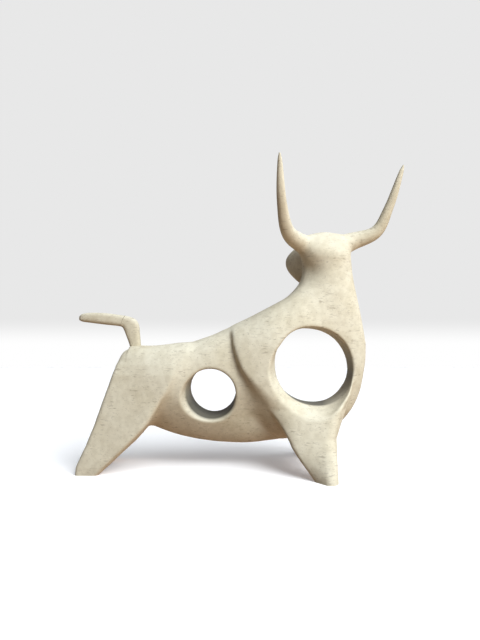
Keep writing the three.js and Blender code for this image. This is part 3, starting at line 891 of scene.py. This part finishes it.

# Stone: its tones, what the mottles multiply them by, and the colours and strengths of dashes, specks
# and the painted shade in the openings. Places in a ramp are shares of the noise; scales are per metre.
STONE_TONES = [(0.36, srgb("CCC3AC")), (0.52, srgb("D2CAB5")), (0.68, srgb("D6CFBB"))]
MOTTLE_STRENGTH, MOTTLES = 0.8, [(0.38, (0.86, 0.845, 0.82)), (0.6, WHITE)]
DASH_STRENGTH, DASH_COLOUR, DASH_SCALE = 0.5, srgb("8A7D6C"), (210, 210, 1050)
PATCH_SCALE, PATCH_OFFSET = (55, 55, 80), (3, 7, 1)  # the dashes come in patches
SPECK_STRENGTH, SPECK_COLOUR = 0.36, srgb("7C7060")
SPECK_SCALE, SPECK_OFFSET = (700, 700, 1000), (5, 1, 9)
# The colour of the painted shade in the openings' throats
THROAT_SHADE_COLOUR = srgb("56534A")
# Painted shade and warm bounce light: the tint from facing down, darker and warmer, to facing up
UNDERSIDE_SHADE = [(0.0, (0.96, 0.86, 0.74)), (0.3, (0.98, 0.92, 0.84)), (0.5, (1.0, 0.98, 0.95)), (0.75, WHITE)]
DASH_DEPTH, SPECK_DEPTH = 0.6, 0.5  # against the grain's height


def painted_throat_shade(n, place, shape):
    """How much painted shade the wall of an opening gets, more towards its foot."""
    centre = ((shape["x"] + SHIFT) * MM, 0, shape["z"] * MM)
    away = n.vector("SUBTRACT", place, centre)
    radius = n.vector("LENGTH", n.vector("MULTIPLY", away, (1, 0, 1)), (0, 0, 0), "Value")
    full, none = ((shape["radius"] + out) * MM for out in shape["out"])
    near_wall = n.between(radius, none, full)
    full, none = ((shape["throat"] + past) * MM for past in shape["past"])
    inner = n.between(n.maths("ABSOLUTE", n.axis(place, "Y")), none, full)
    top, foot = (height * shape["radius"] * MM for height in (THROAT_SHADE_TOP, THROAT_SHADE_FOOT))
    dark = shape["dark"]
    below = n.between(n.axis(away, "Z"), top, foot, THROAT_SHADE_LEAST * dark, dark)
    return n.maths("MULTIPLY", n.maths("MULTIPLY", near_wall, inner), below)


def stone_material():
    """Cream cast stone: mottles, short dashes, fine specks, painted shade in the openings, painted warm
    shade underneath and grain.
    """
    material, n = new_material("speckled_cast_stone")
    place = n.place()
    tone = n.ramp(n.noise(place, scale=34), STONE_TONES)
    mottle = n.ramp(n.noise(place, scale=200, detail=4, rough=0.6), MOTTLES)
    tone = n.mix(MOTTLE_STRENGTH, tone, mottle, "MULTIPLY")
    dashes = n.ramp(n.noise(n.scaled(place, DASH_SCALE), rough=0.55), [(0.6, BLACK), (0.68, WHITE)])
    patches = n.noise(n.scaled(place, PATCH_SCALE, PATCH_OFFSET), detail=1)
    dashes = n.mix(1.0, dashes, n.ramp(patches, [(0.36, BLACK), (0.58, WHITE)]), "MULTIPLY")
    tone = n.mix(n.maths("MULTIPLY", dashes, DASH_STRENGTH), tone, DASH_COLOUR)
    specks = n.noise(n.scaled(place, SPECK_SCALE, SPECK_OFFSET), rough=0.6)
    specks = n.ramp(specks, [(0.63, BLACK), (0.7, WHITE)])
    tone = n.mix(n.maths("MULTIPLY", specks, SPECK_STRENGTH), tone, SPECK_COLOUR)
    # Painted shade in the openings' throats, darker towards their foot
    for shape in OPENINGS:
        tone = n.mix(painted_throat_shade(n, place, shape), tone, THROAT_SHADE_COLOUR)
    # Painted shade: sides that face down are made darker and warmer, as under a warm bounce light
    facing = n.axis(n.add("ShaderNodeNewGeometry").outputs["Normal"], "Z")
    tone = n.mix(1.0, tone, n.ramp(n.between(facing, -1.0, 1.0), UNDERSIDE_SHADE), "MULTIPLY")
    height = n.noise(place, scale=1500, detail=4, rough=0.65)
    height = n.maths("SUBTRACT", height, n.maths("MULTIPLY", dashes, DASH_DEPTH))
    height = n.maths("SUBTRACT", height, n.maths("MULTIPLY", specks, SPECK_DEPTH))
    bump = n.add("ShaderNodeBump", {"Height": height, "Strength": 0.3, "Distance": 0.00012})
    rough = n.ramp(n.noise(place, scale=400, detail=3), [(0.3, grey(0.8)), (0.7, grey(0.95))])
    inputs = {"Base Color": tone, "Roughness": rough, "Normal": bump.outputs["Normal"]}
    n.surface("ShaderNodeBsdfPrincipled", {**inputs, "Specular IOR Level": 0.3})
    return material


def steel_material():
    """Ground steel for the dowels."""
    material, n = new_material("ground_steel")
    place = n.place()
    tones = [(0.35, srgb("8F8F8C")), (0.65, srgb("A9A9A6"))]
    tone = n.ramp(n.noise(place, scale=900, detail=3), tones)
    rough = n.ramp(n.noise(place, scale=1400, detail=3), [(0.3, grey(0.32)), (0.7, grey(0.5))])
    inputs = {"Base Color": tone, "Roughness": rough, "Metallic": 1.0}
    n.surface("ShaderNodeBsdfPrincipled", inputs)
    return material


def paper_material():
    """White paper that glows a little, so that the floor comes out white with a neutral shadow."""
    material, n = new_material("floor_paper")
    inputs = {
        "Base Color": (0.93, 0.89, 0.87, 1), "Roughness": 1.0, "Specular IOR Level": 0.0,
        "Emission Color": (0.85, 1, 1.15, 1), "Emission Strength": 0.15,
    }
    n.surface("ShaderNodeBsdfPrincipled", inputs)
    return material


def backdrop_material():
    """A glowing backdrop, white low down and grey higher up as painted shade of a wall that gets less
    light.
    """
    material, n = new_material("glowing_backdrop")
    height = n.axis(n.place(), "Z")
    climb = n.between(height, *BACKDROP_HEIGHTS, interpolation_type="SMOOTHSTEP")
    tone = n.mix(climb, *(grey(value) for value in BACKDROP_GLOW_TONES))
    n.surface("ShaderNodeEmission", {"Color": tone, "Strength": 1.0})
    return material


# Floor and backdrop, in metres: half width, front and back of the floor, foot and top of the wall, and
# the wall's glowing tones from low to high, grey higher up as painted shade
STAGE_HALF, STAGE_FRONT, STAGE_BACK = 3.0, -3.0, 1.2
WALL_FOOT, WALL_TOP = -0.01, 2.2
BACKDROP_HEIGHTS, BACKDROP_GLOW_TONES = (0.07, 0.165), (1.0, 0.807)
# Light: the lamps' colour, the height that the soft one is turned to, the fill from below and from
# above, and how its tone and strength go with direction: from, to, and the values there
LAMP_COLOUR = (0.97, 1.03, 1.08)
LAMP_HEIGHT = 0.1
LOW_FILL, HIGH_FILL = (0.6, 0.43, 0.32), (0.3, 0.31, 0.32)
FILL_TONE = (-0.6, 0.2, 0, 1)
FILL_RIGHT, FILL_BEHIND = (-1, 0.8, 0.4, 0.9), (0, 0.8, 1, 1.8)


def lamp(name, kind, towards, strength):
    """A lamp that shines from a direction."""
    data = bpy.data.lights.new(name, kind)
    data.energy = strength
    data.color = LAMP_COLOUR
    light = bpy.data.objects.new(name, data)
    light.rotation_mode = "QUATERNION"
    light.rotation_quaternion = Vector(towards).to_track_quat("Z", "Y")
    bpy.context.scene.collection.objects.link(light)
    return light


def sun(name, towards, strength, spread):
    """A far lamp, as wide as spread in degrees."""
    lamp(name, "SUN", towards, strength).data.angle = math.radians(spread)


def softbox(name, place, wide, strength):
    """A round soft light at a place, turned to the middle of the figure."""
    light = lamp(name, "AREA", (place[0], place[1], place[2] - LAMP_HEIGHT), strength)
    light.location = place
    light.data.shape = "DISK"
    light.data.size = wide


def sheet(name, corners, material):
    """A flat sheet of the stage, which throws no light on the figure."""
    mesh = bpy.data.meshes.new(name)
    mesh.from_pydata(corners, [], [(0, 1, 2, 3)])
    mesh.materials.append(material)
    made = bpy.data.objects.new(name, mesh)
    made.visible_diffuse = False
    bpy.context.scene.collection.objects.link(made)


def fill(tree):
    """Dim light from all round: warm from below, fuller from above, from the right and from behind."""
    n = Nodes(tree)
    way = n.place("Generated")

    def towards(axis, values):
        return n.between(n.axis(way, axis), *values, interpolation_type="SMOOTHSTEP")

    background = tree.nodes["Background"]
    n.put(background.inputs["Color"], n.mix(towards("Z", FILL_TONE), LOW_FILL, HIGH_FILL))
    strength = n.maths("MULTIPLY", towards("X", FILL_RIGHT), towards("Y", FILL_BEHIND))
    n.put(background.inputs["Strength"], strength)


def stage():
    """Floor and backdrop, soft light and the camera."""
    left, right, front, back = -STAGE_HALF, STAGE_HALF, STAGE_FRONT, STAGE_BACK
    floor = [(left, front, 0), (right, front, 0), (right, back, 0), (left, back, 0)]
    foot, top = WALL_FOOT, WALL_TOP
    wall = [(left, back, foot), (right, back, foot), (right, back, top), (left, back, top)]
    sheet("floor", floor, paper_material())
    sheet("backdrop", wall, backdrop_material())

    world = bpy.data.worlds.new("studio")
    bpy.context.scene.world = world
    world.use_nodes = True
    fill(world.node_tree)
    sun("key", towards=(0.42, -0.42, 0.8), strength=2.95, spread=48)
    softbox("side", place=(0.26, -0.37, 0.31), wide=0.3, strength=1.6)

    data = bpy.data.cameras.new("camera")
    data.lens = CAMERA_LENS
    data.shift_y = CAMERA_RISE
    data.clip_start, data.clip_end = CAMERA_CLIP
    camera = bpy.data.objects.new("camera", data)
    camera.location = (SHIFT * MM, -CAMERA_BACK * MM, CAMERA_HEIGHT * MM)
    camera.rotation_euler = (math.pi / 2, 0, 0)
    bpy.context.scene.collection.objects.link(camera)
    bpy.context.scene.camera = camera
    bpy.context.scene.view_settings.view_transform = "Standard"


stage()
stone = stone_material()
steel = steel_material()
for piece in build():
    piece.data.materials.append(stone)
for node_name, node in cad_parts.items():
    if "dowel" in node_name:
        node.data.materials.clear()
        node.data.materials.append(steel)
